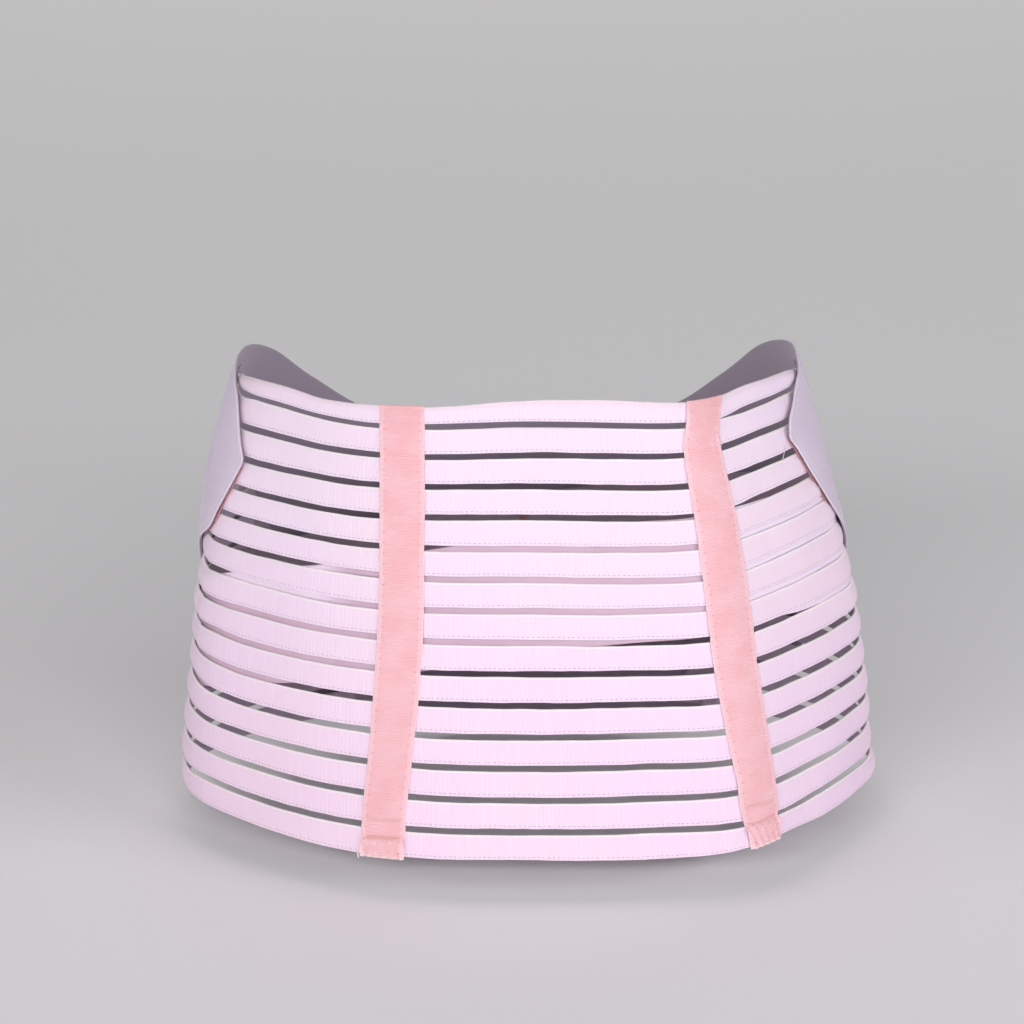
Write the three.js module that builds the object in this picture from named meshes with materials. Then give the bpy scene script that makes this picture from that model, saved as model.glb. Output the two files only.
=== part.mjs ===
// Maternity support belt in its worn form, standing open round a hollow where the torso goes.
// A lattice of horizontal elastic strips wraps the back and sides, and two vertical ribbon
// tapes tie the strips together. A tilted inner band lies against the body, and a wide front
// band passes under the belly and fastens over the lattice with pointed ends at both sides.
//
// Millimetres, +Z up. The wearer's back faces -Y, the belly faces +Y and +X is the side on
// the right when the belt is seen from behind. The origin is the middle of the hollow, at
// half the lattice's height. Angles run round the body in degrees: 0 is the middle of the
// back, 90 the +X side, -90 the -X side and 180 the middle of the belly.

import * as THREE from 'three';
import { mergeVertices } from 'three/addons/utils/BufferGeometryUtils.js';

// Lattice of elastic strips
const STRIP_COUNT = 15;
const STRIP_WIDTH = 14;
const SLIT_HEIGHT = 3;
const STRIP_THICKNESS = 1.4;

// Body that the belt goes round, measured to the inner band's inside
const HIP_WIDTH = 391;
const BACK_DEPTH = 140;
const FRONT_DEPTH = 176;
const HIP_SHIFT = 9;
const SPINE_RISE = 4.2;

// Ribbon tapes over the strips
const TAPE_WIDTH = 24.5;
const TAPE_THICKNESS = 0.8;
const END_TAPE_WIDTH = 24;

// Inner band against the body
const INNER_BAND_HEIGHT = 66;
const INNER_BAND_THICKNESS = 1.6;
const INNER_BAND_MEAN_HEIGHT = 113.4;
const INNER_BAND_SIDE_TILT = 24.7;
const INNER_BAND_BACK_TILT = 29.6;
const INNER_BAND_END_GAP = 3;
const CLOSURE_WIDTH = 60;
const CLOSURE_THICKNESS = 1;

// Front band and the hook pads under its pointed ends
const FRONT_BAND_THICKNESS = 2.6;
const HOOK_PAD_THICKNESS = 1;
const HOOK_PAD_LENGTH = 35;
const HOOK_PAD_SHOW = 2;

// Clearance between one layer and the next, and under the front band, which bridges the
// slanted end tapes
const LAYER_GAP = 0.3;
const BAND_GAP = 0.6;

// Derived sizes
const PITCH = STRIP_WIDTH + SLIT_HEIGHT;
const BELT_HEIGHT = STRIP_COUNT * PITCH - SLIT_HEIGHT;

// Where each layer's inside lies, out from the body
const STRIP_LAYER = INNER_BAND_THICKNESS + LAYER_GAP;
const TAPE_LAYER = STRIP_LAYER + STRIP_THICKNESS + LAYER_GAP;
const BAND_LAYER = TAPE_LAYER + Math.max(TAPE_THICKNESS, HOOK_PAD_THICKNESS) + BAND_GAP;
const CLOSURE_LAYER = INNER_BAND_THICKNESS + LAYER_GAP;
const BAND_LAYER_AT_BELLY = CLOSURE_LAYER + CLOSURE_THICKNESS + LAYER_GAP;

// Facets round the body
const STEP = 4.5;

// Horizontal sections of the body. Height is a share of the lattice's height, and the rest
// are shares of the hip width, back depth, front depth and hip shift.
const SECTIONS = [
  { height: 0, width: 1, back: 1, front: 0.7, shift: 1 },
  { height: 0.333, width: 0.96, back: 0.866, front: 0.86, shift: 0.76 },
  { height: 0.667, width: 0.876, back: 0.761, front: 0.97, shift: 0.53 },
  { height: 1, width: 0.763, back: 0.723, front: 1, shift: 0.29 },
];

// How far the back stands out from a plain ellipse, as a share of its depth. It is flat
// between the tapes and turns sharply at the tape on the +X side.
const BACK_FORM = [
  { angle: -90, push: 0 },
  { angle: -72, push: -0.027 },
  { angle: -54, push: -0.052 },
  { angle: -36, push: -0.016 },
  { angle: -18, push: 0.006 },
  { angle: 0, push: 0 },
  { angle: 18, push: 0.044 },
  { angle: 36, push: 0.118 },
  { angle: 54, push: -0.003 },
  { angle: 72, push: -0.067 },
  { angle: 90, push: 0 },
];

// Middle lines of the two back tapes, in degrees, and their widths as shares of TAPE_WIDTH.
const BACK_TAPES = [
  { height: 0, left: -24.2, right: 40.2, leftWidth: 1.02, rightWidth: 0.92 },
  { height: 0.25, left: -22.2, right: 39.2, leftWidth: 1.01, rightWidth: 1.12 },
  { height: 0.5, left: -21.6, right: 38.5, leftWidth: 0.96, rightWidth: 1.06 },
  { height: 0.75, left: -22.5, right: 39.9, leftWidth: 0.97, rightWidth: 1.1 },
  { height: 1, left: -24, right: 41.6, leftWidth: 1.01, rightWidth: 1.04 },
];

// Lower and upper edges of the front band, as shares of the lattice's height. Each side
// starts at the blunt tip of its pointed end, and both share the stretch round the belly.
const BELLY_EDGES = [
  { angle: 105, low: 0.42, high: 0.99 },
  { angle: 120, low: 0.24, high: 0.91 },
  { angle: 135, low: 0.08, high: 0.8 },
  { angle: 150, low: -0.03, high: 0.69 },
  { angle: 165, low: -0.07, high: 0.65 },
  { angle: 180, low: -0.08, high: 0.645 },
];
const LEFT_EDGES = [
  { angle: 65.5, low: 0.794, high: 0.806 },
  { angle: 68.1, low: 0.746, high: 0.838 },
  { angle: 72.2, low: 0.679, high: 0.894 },
  { angle: 76, low: 0.61, high: 0.931 },
  { angle: 83, low: 0.57, high: 0.97 },
  { angle: 92, low: 0.54, high: 1.02 },
  ...BELLY_EDGES,
];
const RIGHT_EDGES = [
  { angle: 65.4, low: 0.836, high: 0.848 },
  { angle: 67.3, low: 0.81, high: 0.879 },
  { angle: 70.7, low: 0.752, high: 0.905 },
  { angle: 76, low: 0.69, high: 0.94 },
  { angle: 83, low: 0.625, high: 0.972 },
  { angle: 92, low: 0.56, high: 1.02 },
  ...BELLY_EDGES,
];

// Slanted line where the strips end under the front band, in degrees
const STRIP_END_AT_TOP = 90;
const STRIP_END_AT_BOTTOM = 152;

// Spine rise: the top strips bow up over the middle of the back
const RISE_MIDDLE = 2.3;
const RISE_SPREAD = 20.2;
const RISE_REST = 0.45;

// Value of one column at a place between rows, on a smooth curve through the rows.
function smoothValue(rows, key, column, at) {
  const last = rows.length - 1;
  const place = THREE.MathUtils.clamp(at, rows[0][key], rows[last][key]);
  let i = 0;
  while (i < last - 1 && place > rows[i + 1][key]) {
    i += 1;
  }
  const slopeAt = (k) => {
    const before = rows[Math.max(k - 1, 0)];
    const after = rows[Math.min(k + 1, last)];
    return (after[column] - before[column]) / (after[key] - before[key]);
  };
  const span = rows[i + 1][key] - rows[i][key];
  const t = (place - rows[i][key]) / span;
  const fromStart = rows[i][column] * (1 + 2 * t) * (1 - t) ** 2;
  const fromEnd = rows[i + 1][column] * t * t * (3 - 2 * t);
  const fromSlopes = slopeAt(i) * t * (1 - t) ** 2 - slopeAt(i + 1) * t * t * (1 - t);
  return fromStart + fromEnd + fromSlopes * span;
}

// The same angle, brought between -180 and 180.
function signedAngle(angle) {
  return THREE.MathUtils.euclideanModulo(angle + 180, 360) - 180;
}

// Point of the body's surface in its horizontal section.
function sectionPoint(angle, height) {
  const share = height / BELT_HEIGHT;
  const turn = THREE.MathUtils.degToRad(angle);
  const halfWidth = (HIP_WIDTH / 2) * smoothValue(SECTIONS, 'height', 'width', share);
  const shift = HIP_SHIFT * smoothValue(SECTIONS, 'height', 'shift', share);
  const x = shift + halfWidth * Math.sin(turn);
  if (Math.abs(signedAngle(angle)) > 90) {
    const front = FRONT_DEPTH * smoothValue(SECTIONS, 'height', 'front', share);
    return new THREE.Vector2(x, -front * Math.cos(turn));
  }
  const back = BACK_DEPTH * smoothValue(SECTIONS, 'height', 'back', share);
  const push = smoothValue(BACK_FORM, 'angle', 'push', signedAngle(angle));
  return new THREE.Vector2(x, -back * (Math.cos(turn) + push));
}

// Upward shift of the upper strips over the spine.
function spineRise(angle, height) {
  const share = height / BELT_HEIGHT;
  const across = (signedAngle(angle) - RISE_MIDDLE) / RISE_SPREAD;
  return SPINE_RISE * share * share * (Math.exp(-across * across) - RISE_REST);
}

// Millimetres round the body for one degree.
function lengthPerDegree(angle, height) {
  return sectionPoint(angle + 0.5, height).distanceTo(sectionPoint(angle - 0.5, height));
}

// Point a given distance out from the body.
function bodyPoint(angle, height, out) {
  const point = sectionPoint(angle, height);
  const along = sectionPoint(angle + 0.5, height).sub(sectionPoint(angle - 0.5, height));
  along.normalize();
  const z = height - BELT_HEIGHT / 2 + spineRise(angle, height);
  return new THREE.Vector3(point.x + along.y * out, point.y - along.x * out, z);
}

// Closed solid wrapped on the body. place(across, up) gives the angle and height of a point
// of the piece, with across and up from 0 to 1, and inside(angle) how far out it starts.
function wrapPatch({ place, inside, thickness, columns, rows }) {
  const box = new THREE.BoxGeometry(1, 1, 1, columns, rows, 1);
  box.deleteAttribute('normal');
  box.deleteAttribute('uv');
  const geometry = mergeVertices(box);
  const points = geometry.attributes.position;
  for (let i = 0; i < points.count; i += 1) {
    const { angle, height } = place(points.getX(i) + 0.5, points.getY(i) + 0.5);
    const out = inside(angle) + thickness * (points.getZ(i) + 0.5);
    const point = bodyPoint(angle, height, out);
    points.setXYZ(i, point.x, point.y, point.z);
  }
  geometry.computeVertexNormals();
  return geometry;
}

// Columns that a stretch of angles takes, and the angle of each column line. The lines of
// every piece stand on one common grid, so that layers never cut into each other.
function gridColumns(from, to) {
  return Math.ceil(to / STEP) - Math.floor(from / STEP);
}

function gridAngle(from, to, across) {
  const angle = (Math.floor(from / STEP) + across * gridColumns(from, to)) * STEP;
  return THREE.MathUtils.clamp(angle, from, to);
}

// Piece between two edges that are functions of the angle.
function bandBetween({ from, to, low, high, inside, thickness, rows }) {
  const place = (across, up) => {
    const angle = gridAngle(from, to, across);
    return { angle, height: THREE.MathUtils.lerp(low(angle), high(angle), up) };
  };
  return wrapPatch({ place, inside, thickness, rows, columns: gridColumns(from, to) });
}

// Ribbon along a middle line that is a function of the height.
function ribbonAlong({ middle, width, inside, thickness, columns, rows }) {
  const place = (across, up) => {
    const height = up * BELT_HEIGHT;
    const turn = width(height) / lengthPerDegree(middle(height), height);
    return { angle: middle(height) + (across - 0.5) * turn, height };
  };
  return wrapPatch({ place, inside, thickness, columns, rows });
}

// Angle at which the strips end, at a height, on either side.
function stripEnd(height) {
  return THREE.MathUtils.lerp(STRIP_END_AT_BOTTOM, STRIP_END_AT_TOP, height / BELT_HEIGHT);
}

function elasticStrip(number) {
  const bottom = (STRIP_COUNT - number) * PITCH;
  const end = Math.round(stripEnd(bottom + STRIP_WIDTH / 2) / STEP) * STEP;
  return bandBetween({
    from: -end,
    to: end,
    low: () => bottom,
    high: () => bottom + STRIP_WIDTH,
    inside: () => STRIP_LAYER,
    thickness: STRIP_THICKNESS,
    rows: 1,
  });
}

function backTape(side) {
  const column = (name, height) => smoothValue(BACK_TAPES, 'height', name, height / BELT_HEIGHT);
  return ribbonAlong({
    middle: (height) => column(side, height),
    width: (height) => TAPE_WIDTH * column(`${side}Width`, height),
    inside: () => TAPE_LAYER,
    thickness: TAPE_THICKNESS,
    columns: 4,
    rows: STRIP_COUNT,
  });
}

function endTape(sign) {
  return ribbonAlong({
    middle: (height) => sign * stripEnd(height),
    width: () => END_TAPE_WIDTH,
    inside: () => TAPE_LAYER,
    thickness: TAPE_THICKNESS,
    columns: 4,
    rows: 2 * STRIP_COUNT,
  });
}

function innerBand() {
  const middle = (angle) => {
    const turn = THREE.MathUtils.degToRad(angle);
    const sideways = INNER_BAND_SIDE_TILT * Math.sin(turn);
    return INNER_BAND_MEAN_HEIGHT + sideways + INNER_BAND_BACK_TILT * Math.cos(turn);
  };
  const end = 180 - INNER_BAND_END_GAP / 2 / lengthPerDegree(180, INNER_BAND_MEAN_HEIGHT);
  return bandBetween({
    from: -end,
    to: end,
    low: (angle) => middle(angle) - INNER_BAND_HEIGHT / 2,
    high: (angle) => middle(angle) + INNER_BAND_HEIGHT / 2,
    inside: () => 0,
    thickness: INNER_BAND_THICKNESS,
    rows: 4,
  });
}

// Plain hook patch that joins the inner band's two ends at the middle of the belly.
function innerBandClosure() {
  const middle = INNER_BAND_MEAN_HEIGHT - INNER_BAND_BACK_TILT;
  const reach = CLOSURE_WIDTH / 2 / lengthPerDegree(180, middle);
  return bandBetween({
    from: 180 - reach,
    to: 180 + reach,
    low: () => middle - INNER_BAND_HEIGHT / 2,
    high: () => middle + INNER_BAND_HEIGHT / 2,
    inside: () => CLOSURE_LAYER,
    thickness: CLOSURE_THICKNESS,
    rows: 4,
  });
}

// Height of one edge of the front band, 'low' or 'high', at any angle round the body.
function frontBandEdge(edge, angle) {
  const signed = signedAngle(angle);
  const rows = signed < 0 ? LEFT_EDGES : RIGHT_EDGES;
  return BELT_HEIGHT * smoothValue(rows, 'angle', edge, Math.abs(signed));
}

// The front band lies over the hook pads at the sides and closer to the body at the belly.
function frontBandInside(angle) {
  const towardsBelly = THREE.MathUtils.smoothstep(Math.abs(signedAngle(angle)), 155, 178);
  return THREE.MathUtils.lerp(BAND_LAYER, BAND_LAYER_AT_BELLY, towardsBelly);
}

function frontBand() {
  return bandBetween({
    from: RIGHT_EDGES[0].angle,
    to: 360 - LEFT_EDGES[0].angle,
    low: (angle) => frontBandEdge('low', angle),
    high: (angle) => frontBandEdge('high', angle),
    inside: frontBandInside,
    thickness: FRONT_BAND_THICKNESS,
    rows: 8,
  });
}

// Hook pad under a pointed end. It shows past the point and the lower cut, and stays behind
// the upper cut.
function hookPad(sign) {
  const tip = (sign < 0 ? LEFT_EDGES : RIGHT_EDGES)[0];
  const perDegree = lengthPerDegree(sign * tip.angle, tip.low * BELT_HEIGHT);
  const showTurn = HOOK_PAD_SHOW / perDegree;
  const start = tip.angle - showTurn;
  const end = start + HOOK_PAD_LENGTH / perDegree;
  const low = (angle) => frontBandEdge('low', angle + sign * showTurn) - HOOK_PAD_SHOW / 2;
  return bandBetween({
    from: sign < 0 ? -end : start,
    to: sign < 0 ? -start : end,
    low,
    high: (angle) => frontBandEdge('high', angle) - HOOK_PAD_SHOW,
    inside: () => TAPE_LAYER,
    thickness: HOOK_PAD_THICKNESS,
    rows: 4,
  });
}

function cloth(color, roughness) {
  return new THREE.MeshStandardMaterial({ color, roughness, metalness: 0 });
}

function addPiece(group, name, geometry, material) {
  const mesh = new THREE.Mesh(geometry, material);
  mesh.name = name;
  group.add(mesh);
}

const belt = new THREE.Group();
for (let number = 1; number <= STRIP_COUNT; number += 1) {
  const name = `elastic_strip_${String(number).padStart(2, '0')}`;
  addPiece(belt, name, elasticStrip(number), cloth(0xf6e6f4, 0.85));
}
addPiece(belt, 'back_tape_left', backTape('left'), cloth(0xf8bfc2, 0.75));
addPiece(belt, 'back_tape_right', backTape('right'), cloth(0xf8bfc2, 0.75));
addPiece(belt, 'end_tape_left', endTape(-1), cloth(0xf3d6dc, 0.8));
addPiece(belt, 'end_tape_right', endTape(1), cloth(0xf3d6dc, 0.8));
addPiece(belt, 'inner_band', innerBand(), cloth(0xe0c8d4, 0.8));
addPiece(belt, 'inner_band_closure', innerBandClosure(), cloth(0xe6b7ae, 0.9));
addPiece(belt, 'front_band', frontBand(), cloth(0xdcd0e4, 0.9));
addPiece(belt, 'hook_pad_left', hookPad(-1), cloth(0xeeb0a6, 0.9));
addPiece(belt, 'hook_pad_right', hookPad(1), cloth(0xeeb0a6, 0.9));

export default belt;
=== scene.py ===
"""Maternity support belt in its worn form, seen from behind.

The surface functions follow those of the CAD source, with finer tables for slits and edges.
They are in millimetres: angles run round the body in degrees, 0 at the middle of the back and
90 on the +X side, and heights run from the bottom of the lattice. Meshes are written in
metres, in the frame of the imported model.
"""

import math

import bpy
import numpy as np
from mathutils import Matrix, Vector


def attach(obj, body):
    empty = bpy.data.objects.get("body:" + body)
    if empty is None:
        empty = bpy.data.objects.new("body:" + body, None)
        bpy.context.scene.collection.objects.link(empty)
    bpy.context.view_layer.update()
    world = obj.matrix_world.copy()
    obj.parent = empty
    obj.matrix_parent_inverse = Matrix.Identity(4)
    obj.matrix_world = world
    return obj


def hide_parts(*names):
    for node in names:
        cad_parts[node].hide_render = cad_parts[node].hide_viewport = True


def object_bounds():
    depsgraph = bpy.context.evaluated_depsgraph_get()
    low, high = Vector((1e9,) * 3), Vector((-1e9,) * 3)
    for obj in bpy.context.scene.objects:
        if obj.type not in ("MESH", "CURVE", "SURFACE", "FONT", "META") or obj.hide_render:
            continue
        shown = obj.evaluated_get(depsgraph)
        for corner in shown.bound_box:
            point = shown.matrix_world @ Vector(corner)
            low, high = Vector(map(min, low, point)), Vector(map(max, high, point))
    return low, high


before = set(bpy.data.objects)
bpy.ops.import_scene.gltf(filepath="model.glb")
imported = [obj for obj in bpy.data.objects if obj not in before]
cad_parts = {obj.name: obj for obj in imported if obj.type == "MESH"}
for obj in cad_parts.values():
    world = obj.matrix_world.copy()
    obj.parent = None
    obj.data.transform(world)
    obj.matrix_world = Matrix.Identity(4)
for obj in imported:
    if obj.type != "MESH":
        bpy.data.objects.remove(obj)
cad_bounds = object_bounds()

MM = 0.001
BODY = "root"

# Lattice of elastic strips
STRIP_COUNT = 15
STRIP_WIDTH = 14.0
SLIT_HEIGHT = 3.0
STRIP_THICKNESS = 1.4
PITCH = STRIP_WIDTH + SLIT_HEIGHT
BELT_HEIGHT = STRIP_COUNT * PITCH - SLIT_HEIGHT
STRIP_CROWN_BEHIND = 0.25
STRIP_CROWN_AT_SIDES = 1.35
STRIP_LIFT_WAVE = 0.28
STRIP_EDGE_WAVE = 0.12
STRIP_RING_SPACING = 2.4
STRIP_STITCH_START = 3
STRIP_STITCH_PITCH = 2.7
STRIP_STITCH_INSET = 1.75
# Angles of the strips' ends, which are rounded to even steps
STRIP_END_STEP = 4.5
STRIP_END_AT_TOP = 90.0
STRIP_END_AT_BOTTOM = 152.0

# Body that the belt goes round
HIP_WIDTH = 391.0
BACK_DEPTH = 140.0
FRONT_DEPTH = 176.0
HIP_SHIFT = 9.0
SPINE_RISE = 4.2
RISE_MIDDLE = 2.3
RISE_SPREAD = 20.2
RISE_REST = 0.45

# Tapes, inner band, closure, front band and hook pads
TAPE_WIDTH = 24.5
TAPE_THICKNESS = 0.8
END_TAPE_WIDTH = 24.0
INNER_BAND_HEIGHT = 66.0
INNER_BAND_THICKNESS = 1.6
INNER_BAND_MEAN_HEIGHT = 113.4
INNER_BAND_SIDE_TILT = 24.7
INNER_BAND_BACK_TILT = 29.6
INNER_BAND_END_GAP = 3.0
CLOSURE_WIDTH = 60.0
CLOSURE_THICKNESS = 1.0
FRONT_BAND_THICKNESS = 2.6
HOOK_PAD_THICKNESS = 1.0
HOOK_PAD_LENGTH = 35.0
# How far the pads lie in from the front band's tips, lower edges and upper edges
HOOK_PAD_TIP_SETBACK = 1.5
HOOK_PAD_LOW_SETBACK = 0.4
HOOK_PAD_HIGH_SETBACK = 8.0

# How far out from the body each layer's inside lies. A strip sinks towards the body where
# no inner band holds it off.
LAYER_GAP = 0.3
STRIP_LAYER = INNER_BAND_THICKNESS + LAYER_GAP
BARE_LAYER = 1.0
TAPE_LAYER = STRIP_LAYER + STRIP_THICKNESS + LAYER_GAP
BAND_LAYER = TAPE_LAYER + HOOK_PAD_THICKNESS + 2 * LAYER_GAP
CLOSURE_LAYER = INNER_BAND_THICKNESS + LAYER_GAP
BAND_LAYER_AT_BELLY = CLOSURE_LAYER + CLOSURE_THICKNESS + LAYER_GAP


def table(columns, rows):
    """Rows as dictionaries, with each value under its column's name."""
    return [dict(zip(columns.split(), row)) for row in rows]


# The body's half width, its depths behind and in front and its shift towards +X, as shares
# of their largest values, at shares of the belt's height
SECTIONS = table("height width back front shift", [
    (0, 1, 1, 0.7, 1),
    (0.333, 0.96, 0.866, 0.86, 0.76),
    (0.667, 0.876, 0.761, 0.97, 0.53),
    (1, 0.763, 0.723, 1, 0.29),
])
# How far the back's section lies off an ellipse, as a share of the back's depth
BACK_FORM = table("angle push", [
    (-90, 0),
    (-72, -0.027),
    (-54, -0.052),
    (-36, -0.016),
    (-18, 0.006),
    (0, 0),
    (18, 0.044),
    (36, 0.118),
    (54, -0.003),
    (72, -0.067),
    (90, 0),
])
# Angles of the two back tapes' middles, and their widths as shares of the nominal width
BACK_TAPES = table("height left right left_width right_width", [
    (0, -24.2, 40.2, 1.02, 0.92),
    (0.25, -22.2, 39.2, 1.01, 1.12),
    (0.5, -21.6, 38.5, 0.96, 1.06),
    (0.75, -22.5, 39.9, 0.97, 1.1),
    (1, -24, 41.6, 1.01, 1.04),
])
# Lower and upper edges of the front band, as shares of the belt's height. Between 76 and 105
# degrees they follow the photograph and lie up to 9 mm off the CAD's edges.
BELLY_EDGES = table("angle low high", [
    (105, 0.42, 0.97),
    (120, 0.24, 0.91),
    (135, 0.08, 0.8),
    (150, -0.03, 0.69),
    (165, -0.07, 0.65),
    (180, -0.08, 0.645),
])
LEFT_EDGES = table("angle low high", [
    (65.5, 0.794, 0.806),
    (68.1, 0.746, 0.838),
    (72.2, 0.679, 0.894),
    (76, 0.628, 0.931),
    (83, 0.594, 0.962),
    (92, 0.55, 0.985),
]) + BELLY_EDGES
RIGHT_EDGES = table("angle low high", [
    (65.4, 0.836, 0.848),
    (67.3, 0.81, 0.879),
    (70.7, 0.752, 0.905),
    (76, 0.69, 0.94),
    (83, 0.625, 0.965),
    (92, 0.56, 0.99),
]) + BELLY_EDGES

# Slits that lie off their even places: how far up each one is, in millimetres, at some
# angles. Slit 1 is under the top strip; 0 is the belt's top edge and 15 its bottom edge.
SLIT_ANGLES = (-78, -68, -56, -44, -32, -15, 0, 15, 27, 46, 56, 66, 76)
SLIT_RISES = {
    0: (-7, -4.9, -4.1, -5.7, -4.8, -4.1, -2.7, -1, -0.8, -4.6, -4.1, -5.8, -7),
    1: (-1.4, 0.1, 0.5, -0.3, -0.7, 0.1, -0.1, 0.4, 0.8, -1.4, -1, -1.7, -2.4),
    2: (-1.6, -0.6, 0, -0.2, -0.1, 0.1, -0.1, 0.3, 0.6, -0.1, 0.4, -0.5, -0.8),
    3: (-1.6, -1.2, -0.8, -0.1, -0.1, 0.4, 0, -0.2, -0.1, -0.3, 0, -0.4, -0.5),
    4: (-1.2, -1, -0.7, -0.4, -0.4, 0.3, -0.1, -0.3, -0.1, 0, 0.6, 0.3, -0.2),
    5: (-1, -0.4, -0.2, 0, -0.2, 0.3, -0.3, -0.4, -0.2, 0.6, 0.9, 0.9, 0.6),
    6: (-1.2, 0.2, 0.6, 1.1, 1.3, 0.4, 0.1, -0.6, -0.6, 0, 1.1, 1.3, 0.7),
    7: (-0.5, 1.2, 1.4, 1.3, 0.9, 0.4, 0.1, -0.3, 0, 0.2, 0.6, 0.8, 0.5),
    8: (0.3, 0.8, 1.2, 1.2, 1.1, 0.5, 0.1, -0.3, -0.2, 0, 0.1, -0.2, -0.6),
    9: (0.8, 1.6, 0.7, 0.8, 1, 0.4, -0.2, 0, -0.2, -0.4, -0.4, -0.9, -1.2),
    10: (1.2, 1.4, 0.5, 0.8, 0.7, 0.3, -0.3, 0.1, 0, -0.6, -0.6, -0.9, -1.2),
    11: (1.4, 0.6, -0.1, 0.2, 0.3, 0.1, -0.2, 0.1, 0.1, -0.8, -0.8, -0.9, -1.3),
    12: (-0.2, -0.3, -0.3, 0.1, 0, 0.3, 0, 0.3, 0.3, -0.8, -0.6, -0.8, -1.1),
    13: (-0.8, -0.4, -0.1, 0, -0.3, 0.2, -0.1, 0.1, 0.3, -0.6, -0.1, -0.5, -1.3),
    14: (-1.8, 0, -0.3, -0.3, -0.5, -0.1, 0, 0, 0.1, -1.2, -0.2, -0.1, -1.4),
    15: (-1.3, 0, 0, -0.4, -1.3, 0, 0.5, -0.2, 0.5, 2.4, 0.9, 1.2, 1.5),
}

# Slits wider or narrower than the rest: each row opens one slit by some millimetres between
# two angles, fading in and out, or closes it where the amount is negative.
SLIT_OPENINGS = table("slit start end fade open", [
    (1, -74, -26, 6, -0.6),
    (1, -100, -70, 6, 0.5),
    (1, 36, 54, 10, -3.1),
    (1, 48, 90, 8, -0.3),
    (2, -90, -30, 16, 0.3),
    (2, 36, 90, 8, 0.4),
    (3, -84, -44, 12, 0.3),
    (3, 36, 90, 8, 0.4),
    (4, 38, 50, 5, -1.3),
    (8, 48, 100, 9, -0.6),
    (9, 36, 120, 8, 0.4),
    (10, 36, 120, 8, 0.4),
    (12, 36, 120, 8, 0.3),
    (14, 38, 52, 5, -1.2),
])
SLIT_OPENING = 3.25
# Where the top strip starts to narrow towards its ends, in degrees, and how much it loses
# for each degree from there
TUCK_START = 77.0
TUCK_SLOPE = 0.32

# Where the inner band swells out through a slit, nearly flush with the strips
SLIT_SWELLS = table("slit start end fade swell", [
    (6, -43, -20, 2, 1.5),
    (7, -70, -30, 3, 1.5),
    (5, 40, 100, 3, 1.8),
    (6, 40, 110, 3, 1.8),
    (7, 40, 110, 3, 1.8),
    (8, 50, 110, 6, 1.8),
])

# Tape edges that aren't straight: how far each edge is moved towards +X, in millimetres
TAPE_SHIFTS = table("height left_a left_b right_a right_b", [
    (0, -1.5, -0.5, 1.8, 1.8),
    (0.044, -2, -1.5, 1, 2.4),
    (0.1, -3, -2.4, 0, 2.8),
    (0.15, -2.6, -2.2, 0.6, 1.6),
    (0.25, -2.2, -1.6, -0.8, -0.3),
    (0.36, -1.8, 0, -2, -1),
    (0.46, -1.2, 0.8, -1.9, 0.3),
    (0.57, -1, 1, -1.8, 0),
    (0.68, -0.8, 0.8, -2.3, -1.8),
    (0.78, -0.8, 1, -3.2, -3.2),
    (0.84, -0.8, 0.6, -4, -4.9),
    (0.9, -0.6, 0.5, -4, -4.2),
    (0.94, -0.6, 0.4, -0.8, -2.2),
    (1, 0, 0, 1, 2),
])

# How far the sides lie out from the CAD's body, in millimetres, so that the outline follows
# the photograph's
SIDE_PUSHES = table("height left right", [
    (0, 0, 0),
    (15, 1.2, -1.2),
    (31, 0.8, -1.2),
    (53, -1, 0),
    (70, -2.4, 0),
    (97, -1.7, 0.4),
    (120, -1, 0.6),
    (150, -0.3, 0),
    (170, 1.4, -0.7),
    (190, 2, 0.2),
    (214, 1.6, 1.1),
    (244, -0.3, 1.5),
])
SIDE_FADE_IN = (62, 84)
SIDE_FADE_OUT = (98, 125)

# Photograph's view: distance and focal length in millimetres, angles in degrees
CAMERA_DISTANCE = 2942.0
CAMERA_ELEVATION = 18.0
CAMERA_AIM_RISE = 28.8
CAMERA_ROLL = -0.481
CAMERA_LENS = 182.3
CAMERA_SENSOR = 36.0


def smooth_value(rows, key, column, at):
    """Value of one column at places between rows, on a smooth curve through the rows."""
    x = np.array([row[key] for row in rows], float)
    y = np.array([row[column] for row in rows], float)
    slope = np.empty_like(y)
    slope[1:-1] = (y[2:] - y[:-2]) / (x[2:] - x[:-2])
    slope[0] = (y[1] - y[0]) / (x[1] - x[0])
    slope[-1] = (y[-1] - y[-2]) / (x[-1] - x[-2])
    at = np.clip(at, x[0], x[-1])
    i = np.clip(np.searchsorted(x, at, side="right") - 1, 0, len(x) - 2)
    span = x[i + 1] - x[i]
    t = (at - x[i]) / span
    from_ends = y[i] * (1 + 2 * t) * (1 - t) ** 2 + y[i + 1] * t * t * (3 - 2 * t)
    return from_ends + (slope[i] * t * (1 - t) ** 2 - slope[i + 1] * t * t * (1 - t)) * span


def smoothstep(value, low, high):
    t = np.clip((value - low) / (high - low), 0, 1)
    return t * t * (3 - 2 * t)


def hump(value, middle, reach):
    """1 at the middle, falling smoothly to 0 at the reach on either side."""
    return 1 - smoothstep(np.abs(value - middle), 0, reach)


def bell(value, middle, reach):
    """1 at the middle, falling off on either side like a bell."""
    return np.exp(-((value - middle) / reach) ** 2)


def signed_angle(angle):
    return (angle + 180) % 360 - 180


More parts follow.
